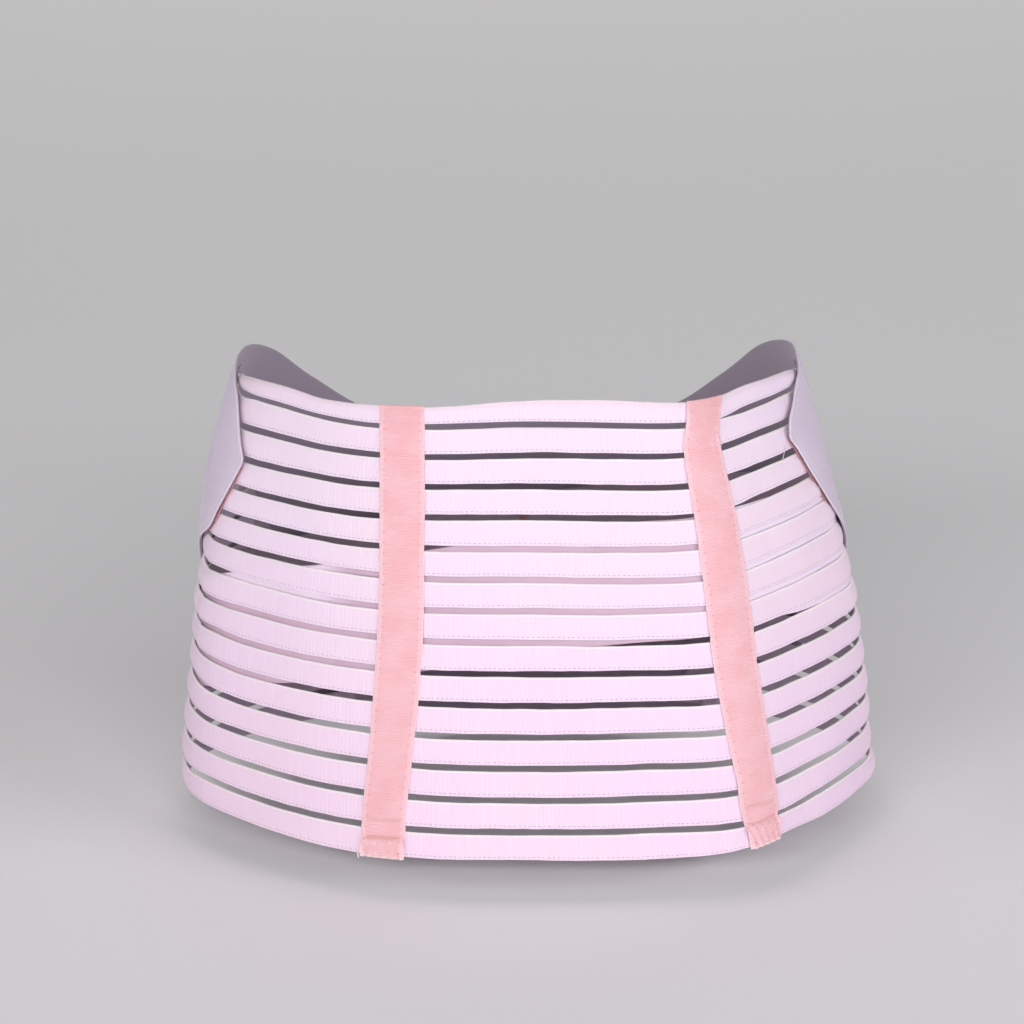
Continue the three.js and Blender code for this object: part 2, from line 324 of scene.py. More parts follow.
def section_point(angle, height):
    """Point of the body's surface in its horizontal section."""
    share = height / BELT_HEIGHT
    turn = np.radians(angle)
    width, shift, front, back = (smooth_value(SECTIONS, "height", column, share)
                                 for column in ("width", "shift", "front", "back"))
    signed = signed_angle(angle)
    push = smooth_value(BACK_FORM, "angle", "push", signed)
    behind = -(BACK_DEPTH * back) * (np.cos(turn) + push)
    before = -(FRONT_DEPTH * front) * np.cos(turn)
    x = HIP_SHIFT * shift + HIP_WIDTH / 2 * width * np.sin(turn)
    return x, np.where(np.abs(signed) > 90, before, behind)


def section_step(angle, height):
    """How far the section runs on each axis over one degree."""
    xa, ya = section_point(angle - 0.5, height)
    xb, yb = section_point(angle + 0.5, height)
    return xb - xa, yb - ya


def length_per_degree(angle, height):
    return np.hypot(*section_step(angle, height))


def side_push(angle, height):
    signed = signed_angle(angle)
    left, right = (smooth_value(SIDE_PUSHES, "height", side, height) for side in ("left", "right"))
    near = smoothstep(np.abs(signed), *SIDE_FADE_IN) * (1 - smoothstep(
        np.abs(signed), *SIDE_FADE_OUT))
    return near * np.where(signed < 0, left, right)


def body_point(angle, height, out):
    """Point a given distance out from the body, in millimetres."""
    out = out + side_push(angle, height)
    x, y = section_point(angle, height)
    step_x, step_y = section_step(angle, height)
    length = np.hypot(step_x, step_y)
    share = height / BELT_HEIGHT
    across = (signed_angle(angle) - RISE_MIDDLE) / RISE_SPREAD
    rise = SPINE_RISE * share * share * (np.exp(-across * across) - RISE_REST)
    z = height - BELT_HEIGHT / 2 + rise
    return np.stack([x + step_y / length * out, y - step_x / length * out, z], axis=-1)


def even_angles(start, end, height, spacing):
    """Angles spaced evenly along the body at one height, with their places in millimetres."""
    fine = np.linspace(start, end, int(abs(end - start) * 4) + 2)
    x, y = section_point(fine, np.full_like(fine, height))
    steps = np.hypot(np.diff(x), np.diff(y))
    places = np.concatenate([[0], np.cumsum(steps)])
    count = max(int(places[-1] / spacing), 2) + 1
    even = np.linspace(0, places[-1], count)
    return np.interp(even, places, fine), even


def waves(seed, size, shortest, longest, count=5):
    """Smooth seeded waviness of a few sines, as a function of a place in millimetres."""
    rng = np.random.default_rng(seed)
    lengths = rng.uniform(shortest, longest, count)
    phases = rng.uniform(0, 2 * math.pi, count)
    weights = rng.uniform(0.4, 1, count)
    weights *= size / weights.sum() * 1.6

    def at(place):
        place = np.asarray(place, float)[..., None]
        return (weights * np.sin(2 * math.pi * place / lengths + phases)).sum(axis=-1)

    return at


def rounding(distance, radius):
    """Share of the full thickness at a distance in from a rounded edge."""
    left = 1 - np.clip(distance / radius, 0, 1)
    return np.sqrt(np.clip(1 - left * left, 0, 1))


def inner_band_middle(angle):
    turn = np.radians(angle)
    sideways = INNER_BAND_SIDE_TILT * np.sin(turn)
    return INNER_BAND_MEAN_HEIGHT + sideways + INNER_BAND_BACK_TILT * np.cos(turn)


# A ledge in the strips on the left side: how far out it steps, the angles that it rises and
# falls between, its height and its reach
LEDGE_STEP = 0.9
LEDGE_RISE = (-78.6, -77.2)
LEDGE_FALL = (-77, -60)
LEDGE_HEIGHT = 108
LEDGE_REACH = 48


def strip_inside(angle, height):
    """How far out a strip's inside lies: it steps up onto the inner band."""
    covered = INNER_BAND_HEIGHT / 2 - np.abs(height - inner_band_middle(angle))
    rest = BARE_LAYER + (STRIP_LAYER - BARE_LAYER) * smoothstep(covered, -6, 1)
    ledge = smoothstep(angle, *LEDGE_RISE) * (1 - smoothstep(angle, *LEDGE_FALL))
    return rest + LEDGE_STEP * ledge * hump(height, LEDGE_HEIGHT, LEDGE_REACH)


def strip_end(height):
    share = height / BELT_HEIGHT
    return STRIP_END_AT_BOTTOM + (STRIP_END_AT_TOP - STRIP_END_AT_BOTTOM) * share


def front_band_edge(edge, angle):
    signed = signed_angle(angle)
    left = smooth_value(LEFT_EDGES, "angle", edge, np.abs(signed))
    right = smooth_value(RIGHT_EDGES, "angle", edge, np.abs(signed))
    return BELT_HEIGHT * np.where(signed < 0, left, right)


def add_object(name, data):
    made = bpy.data.objects.new(name, data)
    bpy.context.scene.collection.objects.link(made)
    return made


def mesh_piece(name, points, faces):
    """Smooth mesh through points in millimetres."""
    mesh = bpy.data.meshes.new(name)
    mesh.from_pydata((points.reshape(-1, 3) * MM).tolist(), [], faces)
    mesh.shade_smooth()
    return add_object(name, mesh)


def loft(name, points, cloth):
    """Closed mesh through rings of points. points is (rings, places, 3) in millimetres, and
    cloth holds each point's place along, place across and distance from the edge, which is
    negative on the inside."""
    rings, places = points.shape[:2]
    index = np.arange(rings * places).reshape(rings, places)
    following = np.roll(index, -1, axis=1)
    quads = np.stack([index[:-1], index[1:], following[1:], following[:-1]], axis=-1)
    faces = quads.reshape(-1, 4).tolist()
    faces.append(index[0].tolist())
    faces.append(index[-1][::-1].tolist())
    piece = mesh_piece(name, points, faces)
    attribute = piece.data.attributes.new("cloth", "FLOAT_VECTOR", "POINT")
    attribute.data.foreach_set("vector", cloth.reshape(-1, 3).astype(np.float32).ravel())
    return piece


def cloth_places(place, across, edge, side):
    """Each point's place along the cloth, place across it and distance from its edge."""
    signed = edge * np.where(side < 0, -1, 1)
    return np.stack(np.broadcast_arrays(place[:, None], across, signed), axis=-1)


# Slit rises on close angles, on a smooth curve through the table
SLIT_FINE_ANGLES = np.arange(-180, 181, 2)
SLIT_FINE_RISES = {
    slit: smooth_value(
        table("angle rise", zip(SLIT_ANGLES, values)), "angle", "rise", SLIT_FINE_ANGLES)
    for slit, values in SLIT_RISES.items()
}


def ring_places(width, outer, inner):
    """Places across a ring: up the outside and back down the inside, and the side of each."""
    outside = np.concatenate([outer, [width / 2], width - np.array(outer)[::-1]])
    inside = np.concatenate([width - np.array(inner), [width / 2], np.array(inner)[::-1]])
    across = np.concatenate([outside, inside])
    side = np.concatenate([np.ones(len(outside)), -np.ones(len(inside))])
    side[0] = side[len(outside) - 1] = 0
    return across, side


OUTER_PLACES = [0, 0.05, 0.2, 0.5, 0.9, 1.5, 2.6, 4.5]
INNER_PLACES = [0.3, 1.2, 4.0]


def ranged_sum(rows, slit, column, angle):
    """Sum of a column over the rows of one slit, each faded in and out between its angles."""
    total = np.zeros_like(angle, dtype=float)
    for row in rows:
        if row["slit"] == slit:
            rising = smoothstep(angle, row["start"], row["start"] + row["fade"])
            falling = smoothstep(angle, row["end"] - row["fade"], row["end"])
            total += row[column] * (rising - falling)
    return total


def slit_rise(slit, angle):
    rise = np.interp(angle, SLIT_FINE_ANGLES, SLIT_FINE_RISES[slit])
    if slit == 0:
        rise = rise - TUCK_SLOPE * np.clip(np.abs(angle) - TUCK_START, 0, 14)
    return rise


def slit_middle(slit, angle):
    return (STRIP_COUNT - slit) * PITCH - SLIT_HEIGHT / 2 + slit_rise(slit, angle)


def slit_half(slit, angle):
    return (SLIT_OPENING + ranged_sum(SLIT_OPENINGS, slit, "open", angle)) / 2


def strip_edges(number, angle, place):
    """Heights of one strip's lower and upper edges."""
    low = slit_rise(STRIP_COUNT, angle)
    high = BELT_HEIGHT + slit_rise(0, angle)
    if number < STRIP_COUNT:
        low = slit_middle(number, angle) + slit_half(number, angle)
    if number > 1:
        high = slit_middle(number - 1, angle) - slit_half(number - 1, angle)
    low = low + waves(200 + number, STRIP_EDGE_WAVE, 14, 60)(place)
    high = high + waves(300 + number, STRIP_EDGE_WAVE, 14, 60)(place)
    return low, high


def strip_surface(number, angle, place, across, side):
    """Points of one strip, for rings at the angles and places round the ring."""
    low, high = strip_edges(number, angle, place)
    angle = angle[:, None]
    share = across / STRIP_WIDTH
    height = low[:, None] + (high - low)[:, None] * share
    edge = np.minimum(across, STRIP_WIDTH - across)
    half = STRIP_THICKNESS / 2
    crown = STRIP_CROWN_BEHIND + STRIP_CROWN_AT_SIDES * smoothstep(np.abs(angle), 50, 84)
    lift = waves(400 + number, STRIP_LIFT_WAVE, 50, 190)(place)[:, None]
    bulge = crown * (1 - (2 * share - 1) ** 2) + lift
    lips = 0.12 * bell(edge, 0.7, 0.5)
    out = strip_inside(angle, height) + half + bulge
    out = out + side * (half * rounding(edge, half) + np.where(side > 0, lips, 0))
    return np.broadcast_to(angle, height.shape), height, out


def strip_line(number):
    """Angles and places of one strip's rings."""
    middle = (STRIP_COUNT - number) * PITCH + STRIP_WIDTH / 2
    end = round(strip_end(middle) / STRIP_END_STEP) * STRIP_END_STEP
    return even_angles(-end, end, middle, STRIP_RING_SPACING)


def elastic_strip(number):
    angle, place = strip_line(number)
    across, side = ring_places(STRIP_WIDTH, OUTER_PLACES, INNER_PLACES)
    angles, height, out = strip_surface(number, angle, place, across, side)
    cloth = cloth_places(place, across, np.minimum(across, STRIP_WIDTH - across), side)
    piece = loft(f"elastic_{number:02d}", body_point(angles, height, out), cloth)
    return piece, place[-1]


def swell_through_slits(angle, height):
    """How far the inner band bulges out through the slits, as a rounded ridge in each."""
    total = np.zeros(np.broadcast(angle, height).shape)
    for slit in sorted({row["slit"] for row in SLIT_SWELLS}):
        local = (height - slit_middle(slit, angle)) / (slit_half(slit, angle) - 0.1)
        ridge = np.sqrt(np.clip(1 - local * local, 0, 1))
        total += ranged_sum(SLIT_SWELLS, slit, "swell", angle) * ridge
    return total


def slit_dip(height, depth):
    """How far a tape sinks at each slit."""
    local = np.mod(height + SLIT_HEIGHT / 2, PITCH)
    inside = (height > SLIT_HEIGHT) & (height < BELT_HEIGHT - SLIT_HEIGHT)
    return np.where(inside, depth * bell(np.minimum(local, PITCH - local), 0, 1.7), 0)


def ribbon_surface(along, across, side, shape):
    """Points of a ribbon that runs up the body, for rings at heights along it. shape holds
    its nominal width, thickness and the functions middle, width, inside and sway."""
    half = shape["thickness"] / 2
    share = across / shape["nominal"] - 0.5
    middle = shape["middle"](along)
    offset = share * shape["width"](along)[:, None] + shape["sway"](along[:, None], share)
    angle = middle[:, None] + offset / length_per_degree(middle, along)[:, None]
    at_top = smoothstep(along[:, None], BELT_HEIGHT - 20, BELT_HEIGHT)
    at_bottom = smoothstep(-along[:, None], -20, 0)
    height = along[:, None] + slit_rise(0, angle) * at_top
    height = height + slit_rise(STRIP_COUNT, angle) * at_bottom
    edge = np.minimum(across, shape["nominal"] - across)
    out = shape["inside"](angle, height, across) + half + side * half * rounding(edge, half)
    return angle, height, out


def ribbon(name, along, outer, shape):
    """Closed ribbon mesh. The ring runs from the +X edge, so that it faces outward."""
    nominal = shape["nominal"]
    across, side = ring_places(nominal, outer, INNER_PLACES)
    angle, height, out = ribbon_surface(along, nominal - across, side, shape)
    cloth = cloth_places(along, across, np.minimum(across, nominal - across), side)
    return loft(name, body_point(angle, height, out), cloth)


# Back tapes as sewn: height of each hem's crease, size of its gathers, seed of its waves and
# size of the wrinkles near its top
TAPE_SEWING = {
    "left": {"hem": 9.8, "gather": 0.5, "seed": 30, "wrinkle": 0.0},
    "right": {"hem": 14, "gather": 0.9, "seed": 40, "wrinkle": 0.35},
}
# A second, softer crease lies this far above the hem's
HEM_FOLD_HEIGHT = 9.5
TAPE_OVERHANG = 0.8
TAPE_STITCH_INSET = 2.7
TAPE_STITCH_PITCH = 5.8


def tape_shape(side_name):
    sewing = TAPE_SEWING[side_name]
    seed, hem = sewing["seed"], sewing["hem"]
    gathers = waves(seed + 1, sewing["gather"], 3.5, 9)
    ripple = waves(seed + 2, 0.22, 9, 40)
    sways = {-1: waves(seed + 3, 0.2, 9, 60), 1: waves(seed + 4, 0.2, 9, 60)}

    def sway(height, share):
        at = height / BELT_HEIGHT
        left = sways[-1](height) + smooth_value(TAPE_SHIFTS, "height", side_name + "_a", at)
        right = sways[1](height) + smooth_value(TAPE_SHIFTS, "height", side_name + "_b", at)
        return left * (0.5 - share) + right * (0.5 + share)

    def inside(angle, height, across):
        rest = strip_inside(angle, height) + STRIP_THICKNESS + 0.5
        crease = 0.7 * bell(height, hem, 0.8)
        under = 0.36 * bell(height, hem + HEM_FOLD_HEIGHT, 1.2)
        fold = 0.8 * smoothstep(hem - height, 0.2, 1.4)
        pucker = gathers(across * 1.6 + height * 0.5) * smoothstep(hem + 3 - height, 0, 5)
        stitch = np.mod(height, TAPE_STITCH_PITCH) - TAPE_STITCH_PITCH / 2
        row = np.minimum(across, TAPE_WIDTH - across) - TAPE_STITCH_INSET
        dimple = 0.12 * bell(stitch, 0, 1.4) * bell(row, 0, 1)
        wave = np.sin((across - 16) * 1.9 + height * 0.12) * sewing["wrinkle"]
        wrinkle = wave * hump(height, 226, 14) * smoothstep(across, 13, 19)
        sunk = slit_dip(height, 0.5) + crease + under + dimple
        return rest - sunk + fold + pucker + ripple(height) * 0.5 + wrinkle

    return {
        "nominal": TAPE_WIDTH,
        "thickness": TAPE_THICKNESS,
        "middle": lambda h: smooth_value(BACK_TAPES, "height", side_name, h / BELT_HEIGHT),
        "width": lambda h: TAPE_WIDTH * smooth_value(
            BACK_TAPES, "height", f"{side_name}_width", h / BELT_HEIGHT),
        "inside": inside,
        "sway": sway,
    }


def back_tape(side_name):
    along = np.linspace(-TAPE_OVERHANG, BELT_HEIGHT + TAPE_OVERHANG, 280)
    outer = OUTER_PLACES[:-2] + [2.1, 2.7, 3.3, 4.2, 5.4, 6.8, 8.2, 9.6, 11.0]
    return ribbon(f"tape_{side_name}", along, outer, tape_shape(side_name))


def end_tape(side_name, sign):
    shape = {
        "nominal": END_TAPE_WIDTH,
        "thickness": TAPE_THICKNESS,
        "middle": lambda h: sign * strip_end(h),
        "width": lambda h: np.full_like(h, END_TAPE_WIDTH),
        "inside": lambda angle, height, across: TAPE_LAYER - slit_dip(height, 0.2),
        "sway": lambda height, share: 0,
    }
    along = np.linspace(-0.5, BELT_HEIGHT + 0.5, 130)
    return ribbon(f"end_binding_{side_name}", along, OUTER_PLACES, shape)


# Half of the nominal width that a flat band's places across are given for, and the seed and
# size of the front band's relief
BAND_HALF = 50.0
FRONT_BAND_RELIEF = (71, 0.25)


def fit_distance(distance, real_half):
    """Distances from an edge, kept as they are near it and squeezed to fit the real width."""
    near = np.minimum(distance, real_half * 0.6 * distance / (distance + real_half * 0.6))
    full = real_half * distance / BAND_HALF
    share = smoothstep(distance / BAND_HALF, 0.1, 1)
    return near * (1 - share) + full * share


def soft_relief(seed, size, place, height):
    """Soft hollows and swellings of a wide cloth."""
    return waves(seed, size, 40, 160)(place + 0.3 * height)


def flat_band(name, line, edges, shape):
    """Closed band between two edges, rounded at the rim. shape holds how far out its inside
    lies, its thickness, the places across its two faces, the seed and size of its relief and,
    where the outer face is lifted, the function that says how far."""
    angle, place = line
    low, high = (values[:, None] for values in edges)
    across, side = ring_places(2 * BAND_HALF, shape["outer"], shape["inner"])
    reach = fit_distance(np.minimum(across, 2 * BAND_HALF - across), (high - low) / 2)
    lower_half = across <= BAND_HALF
    height = np.where(lower_half, low + reach, high - reach)
    leans = [1 / np.sqrt(1 + np.gradient(values, place) ** 2)[:, None] for values in edges]
    ends = np.minimum(place - place[0], place[-1] - place)[:, None]
    edge = np.minimum(reach * np.where(lower_half, *leans), ends + 0.02)
    angles = np.broadcast_to(angle[:, None], height.shape)
    half = shape["thickness"] / 2
    out = shape["inside"] + half + side * half * rounding(edge, half)
    out = out + soft_relief(*shape["relief"], place[:, None], height)
    if "lift" in shape:
        out = out + np.where(side > 0, shape["lift"](angles, height, edge), 0)
    return loft(name, body_point(angles, height, out), cloth_places(place, height, edge, side))


def front_band_line():
    """Angles and places of the front band's rings, from tip to tip round the belly."""
    first, last = RIGHT_EDGES[0]["angle"], 360 - LEFT_EDGES[0]["angle"]
    return even_angles(first, last, BELT_HEIGHT / 2, 2.6)


def front_band():
    angle, place = front_band_line()
    tip = np.array([0, 0.04, 0.15, 0.35, 0.7, 1.2, 1.8])
    per = place[1] / (angle[1] - angle[0])
    angle = np.concatenate([angle[0] + tip / per, angle[1:-1], angle[-1] - tip[::-1] / per])
    place = np.concatenate([tip, place[1:-1], place[-1] - tip[::-1]])
    low = front_band_edge("low", angle)
    high = front_band_edge("high", angle)
    belly = smoothstep(np.abs(signed_angle(angle)), 155, 178)[:, None]

    def rim(angles, height, edge):
        lip = 0.12 * bell(edge, 1, 0.6)
        seam = 0.15 * bell(edge, 2.3, 0.5)
        return lip - seam - 0.9 * bell(edge, 0, 4.5)

    band = flat_band("front_band_cloth", (angle, place), (low, high), {
        "inside": BAND_LAYER + (BAND_LAYER_AT_BELLY - BAND_LAYER) * belly,
        "thickness": FRONT_BAND_THICKNESS,
        "outer": [0, 0.06, 0.25, 0.55, 0.9, 1.3, 1.7, 2.1, 2.6, 3.4, 5, 8, 13, 20, 28, 38],
        "inner": [0.4, 1.5, 6, 20],
        "relief": FRONT_BAND_RELIEF,
        "lift": rim,
    })
    return band, place[-1], np.trapz(high - low, place)


def hook_pad(name, sign):
    tip = (LEFT_EDGES if sign < 0 else RIGHT_EDGES)[0]
    per = float(length_per_degree(sign * tip["angle"], tip["low"] * BELT_HEIGHT))
    place = np.linspace(0, HOOK_PAD_LENGTH, 40)
    angle = tip["angle"] + HOOK_PAD_TIP_SETBACK / per + place / per
    if sign < 0:
        angle = -angle[::-1]
    low = front_band_edge("low", angle) + HOOK_PAD_LOW_SETBACK
    high = np.maximum(front_band_edge("high", angle) - HOOK_PAD_HIGH_SETBACK, low + 2.5)
    pad = flat_band(name, (angle, place), (low, high), {
        "inside": TAPE_LAYER,
        "thickness": HOOK_PAD_THICKNESS,
        "outer": [0, 0.1, 0.3, 0.6, 1.2, 3, 8, 20],
        "inner": [0.4, 3, 20],
        "relief": (81, 0.05),
    })
    return pad, np.trapz(high - low, place)


def inner_band():
    end = 180 - INNER_BAND_END_GAP / 2 / float(
        length_per_degree(180, INNER_BAND_MEAN_HEIGHT))
    angle, place = even_angles(-end, end, INNER_BAND_MEAN_HEIGHT, 3.2)
    middle = inner_band_middle(angle)
    low = middle - INNER_BAND_HEIGHT / 2 + waves(91, 0.3, 40, 140)(place)
    high = middle + INNER_BAND_HEIGHT / 2 + waves(92, 0.3, 40, 140)(place)
    band = flat_band("inner_band_cloth", (angle, place), (low, high), {
        "inside": 0,
        "thickness": INNER_BAND_THICKNESS,
        "outer": [0, 0.06, 0.2, 0.5, 0.9, *np.linspace(1.4, 49.2, 62)],
        "inner": [0.4, 2, 12, 30],
        "relief": (93, 0.02),
        "lift": lambda angles, height, edge: swell_through_slits(angles, height),
    })
    return band, place[-1]


def closure():
    middle = INNER_BAND_MEAN_HEIGHT - INNER_BAND_BACK_TILT
    reach = CLOSURE_WIDTH / 2 / float(length_per_degree(180, middle))
    line = even_angles(180 - reach, 180 + reach, middle, 2)
    low = np.full_like(line[0], middle - INNER_BAND_HEIGHT / 2)
    return flat_band("closure_patch", line, (low, low + INNER_BAND_HEIGHT), {
        "inside": CLOSURE_LAYER,
        "thickness": CLOSURE_THICKNESS,
        "outer": [0, 0.06, 0.2, 0.5, 1, 2, 5, 12, 25, 38],
        "inner": [0.4, 2, 12, 30],
        "relief": (95, 0.02),
    })


def stitches(name, parts, length, width, height):
    """One mesh of many short threads, each a small closed pod lying on the cloth. Each part
    holds the middles, directions and outward directions of some of them."""
    middle, along, outward = (np.concatenate(rows) for rows in zip(*parts))
    sideways = np.cross(outward, along)
    ends = [middle - along * length / 2, middle + along * length / 2]
    rings = []
    for step in (-0.3, 0.3):
        centre = middle + along * length * step
        rings += [centre + outward * height, centre + sideways * width / 2,
                  centre - outward * height, centre - sideways * width / 2]
    points = np.stack([ends[0]] + rings + [ends[1]], axis=1)
    faces = []
    for k in range(4):
        n = (k + 1) % 4
        faces += [(0, 1 + n, 1 + k), (9, 5 + k, 5 + n)]
    quads = [(1 + k, 1 + (k + 1) % 4, 5 + (k + 1) % 4, 5 + k) for k in range(4)]
    base = np.arange(len(middle))[:, None, None] * 10
    triangles = (np.array(faces)[None] + base).reshape(-1, 3).tolist()
    rectangles = (np.array(quads)[None] + base).reshape(-1, 4).tolist()
    return mesh_piece(name, points, triangles + rectangles)


def frames_on(points_at, place, step=0.4):
    """Middle, direction and outward direction along a line on the cloth."""
    middle = points_at(place, 0)
    along = points_at(place + step, 0) - points_at(place - step, 0)
    along /= np.linalg.norm(along, axis=1)[:, None]
    outward = points_at(place, 1) - middle
    outward /= np.linalg.norm(outward, axis=1)[:, None]
    return middle, along, outward


def strip_stitching():
    """Dash rows just above every strip's lower edge."""
    parts = []
    for number in range(1, STRIP_COUNT + 1):
        angle, place = strip_line(number)
        spots = np.arange(STRIP_STITCH_START, place[-1] - STRIP_STITCH_START, STRIP_STITCH_PITCH)
        rng = np.random.default_rng(500 + number)
        spots = spots + rng.uniform(-0.18, 0.18, len(spots))
        row = STRIP_STITCH_INSET + rng.uniform(-0.1, 0.1, len(spots))

        def points_at(spot, lift):
            at = np.interp(spot, place, angle)
            across = np.full(1, STRIP_STITCH_INSET)
            a, h, o = strip_surface(number, at, spot, across, np.ones(1))
            return body_point(a[:, 0], h[:, 0] + (row - across), o[:, 0] + 0.05 + lift)

        parts.append(frames_on(points_at, spots))
    return stitches("elastic_stitching", parts, length=1.6, width=0.4, height=0.1)


def tape_stitching():
    """Stitch points along both edges of the two back tapes."""
    parts = []
    first = TAPE_STITCH_PITCH / 2
    spots = np.arange(first, BELT_HEIGHT - 1, TAPE_STITCH_PITCH)
    for side_name in TAPE_SEWING:
        shape = tape_shape(side_name)
        for inset in (TAPE_STITCH_INSET, TAPE_WIDTH - TAPE_STITCH_INSET):

            def points_at(spot, lift):
                a, h, o = ribbon_surface(spot, np.full(1, inset), np.ones(1), shape)
                return body_point(a[:, 0], h[:, 0], o[:, 0] + 0.06 + lift)

            parts.append(frames_on(points_at, spots))
    return stitches("tape_stitching", parts, length=1.1, width=0.45, height=0.1)


# Loose thread ends: angle and height of both ends, and how far out they lie
LOOSE_THREADS = table("angle_a height_a angle_b height_b out width", [
    (61.4, 201, 64.6, 208.4, 3.8, 0.5),
    (-29.1, 0, -28.8, -4.6, 2.4, 1.3),
])


def loose_threads():
    """Thread ends: one across a slit by the right tab, one at the left tape's hem."""
    threads = []
    for row in LOOSE_THREADS:
        angle = np.array([row["angle_a"], row["angle_b"]])
        height = np.array([row["height_a"], row["height_b"]])
        ends = body_point(angle, height, np.full(2, row["out"]))
        outward = body_point(angle, height, np.full(2, row["out"] + 1)) - ends
        along = ends[1] - ends[0]
        length = np.linalg.norm(along)
        thread = ends.mean(axis=0)[None], along[None] / length, outward.mean(axis=0)[None]
        name = f"loose_thread_{len(threads) + 1}"
        threads.append(stitches(name, [thread], length, row["width"], height=0.2))
    return threads


# Rows of the front band's stitches: how far each lies from the strips' ends, and how far from
# the band's edges they stop
BAND_STITCH_SHIFT = 8.0
BAND_STITCH_PITCH = 3.2
BAND_STITCH_MARGIN = 5


def band_stitching():
    """Two rows through the front band, over the ends of the strips on either side."""
    band_angle, band_place = front_band_line()
    parts = []
    for sign in (-1, 1):
        for shift in (-BAND_STITCH_SHIFT, BAND_STITCH_SHIFT):
            heights = np.arange(4, BELT_HEIGHT - 6, BAND_STITCH_PITCH)

            def points_at(height, lift):
                middle = sign * strip_end(height)
                angle = middle + shift / length_per_degree(middle, height)
                spot = np.interp(angle % 360, band_angle, band_place)
                relief = soft_relief(*FRONT_BAND_RELIEF, spot, height)
                out = BAND_LAYER + FRONT_BAND_THICKNESS + 0.1 + lift + relief
                return body_point(angle, height, out)

            angles = sign * strip_end(heights)
            inside = heights > front_band_edge("low", angles) + BAND_STITCH_MARGIN
            inside &= heights < front_band_edge("high", angles) - BAND_STITCH_MARGIN
            parts.append(frames_on(points_at, heights[inside]))
    return stitches("front_band_stitching", parts, length=2.3, width=0.6, height=0.2)


class Weave:
    """A material, with short names for the nodes that it is made of."""

    def __init__(self, name, roughness, sheen=0.0, sheen_tint=(1, 1, 1)):
        self.material = bpy.data.materials.new(name)
        self.material.use_nodes = True
        self.tree = self.material.node_tree
        self.shader = self.tree.nodes["Principled BSDF"].inputs
        self.shader["Roughness"].default_value = roughness
        self.shader["Specular IOR Level"].default_value = 0.25
        self.shader["Sheen Weight"].default_value = sheen
        self.shader["Sheen Roughness"].default_value = 0.5
        self.shader["Sheen Tint"].default_value = (*sheen_tint, 1)
        source = self.add("ShaderNodeAttribute", attribute_name="cloth")
        self.cloth = source.outputs["Vector"]
        self.along, self.across, self.edge = self.split(self.cloth)
        self.object = self.add("ShaderNodeTexCoord").outputs["Object"]
        self.sideways, _, self.height = self.split(self.object)

    def add(self, kind, *sources, **settings):
        """New node with its settings, and its first inputs linked to sockets or set to values."""
        node = self.tree.nodes.new(kind)
        for setting, value in settings.items():
            setattr(node, setting, value)
        for source, target in zip(sources, node.inputs):
            self.link(source, target)
        return node

    def link(self, source, target):
        if isinstance(source, bpy.types.NodeSocket):
            self.tree.links.new(source, target)
        else:
            target.default_value = source

    def split(self, vector):
        return self.add("ShaderNodeSeparateXYZ", vector).outputs

    def math(self, operation, first, second=0.0, third=0.0):
        return self.add("ShaderNodeMath", first, second, third, operation=operation).outputs[0]

    def ribs(self, place, pitch):
        """A sine from 0 to 1 along a place, with one rib every pitch."""
        turn = self.math("MULTIPLY_ADD", place, 2 * math.pi / pitch)
        return self.math("MULTIPLY_ADD", self.math("SINE", turn), 0.5, 0.5)

    def noise(self, scale, detail=2.0, vector=None):
        node = self.add("ShaderNodeTexNoise", self.object if vector is None else vector)
        node.inputs["Scale"].default_value = scale
        node.inputs["Detail"].default_value = detail
        return node.outputs["Fac"]

    def stretched(self, x, y):
        """Cloth coordinates scaled along and across."""
        scale = (x, y, 0)
        return self.add("ShaderNodeVectorMath", self.cloth, scale, operation="MULTIPLY").outputs[0]

    def range(self, *sources):
        """Smooth step of a value from low to high, onto another range where one is given."""
        return self.add(
            "ShaderNodeMapRange", *sources, interpolation_type="SMOOTHSTEP").outputs[0]

    def mix(self, share, first, second):
        """Mix of two colours, each a colour tuple or a socket."""
        node = self.add("ShaderNodeMix", share, data_type="RGBA")
        for source, target in ((first, node.inputs[6]), (second, node.inputs[7])):
            self.link((*source, 1) if isinstance(source, tuple) else source, target)
        return node.outputs[2]

    def tint(self, base, colour, *where):
        """The base with a colour laid over it as far as a range of some value says."""
        return self.mix(self.range(*where), base, colour)

    def shaded_inner_face(self, base, colour, fade=0.2):
        """The base with a darker colour on the inside, where edge distances are negative: partly a
        guessed colour of the cloth's inner face, partly painted shade that darkens the hollow
        behind the slits.
        """
        return self.tint(base, colour, self.edge, 0, -fade)

    def finish(self, base, relief, depth):
        """The material with its colour and a relief, whose depth is in metres."""
        self.link(base, self.shader["Base Color"])
        bump = self.add("ShaderNodeBump")
        bump.inputs["Distance"].default_value = depth
        self.link(relief, bump.inputs["Height"])
        self.link(bump.outputs[0], self.shader["Normal"])
        return self.material


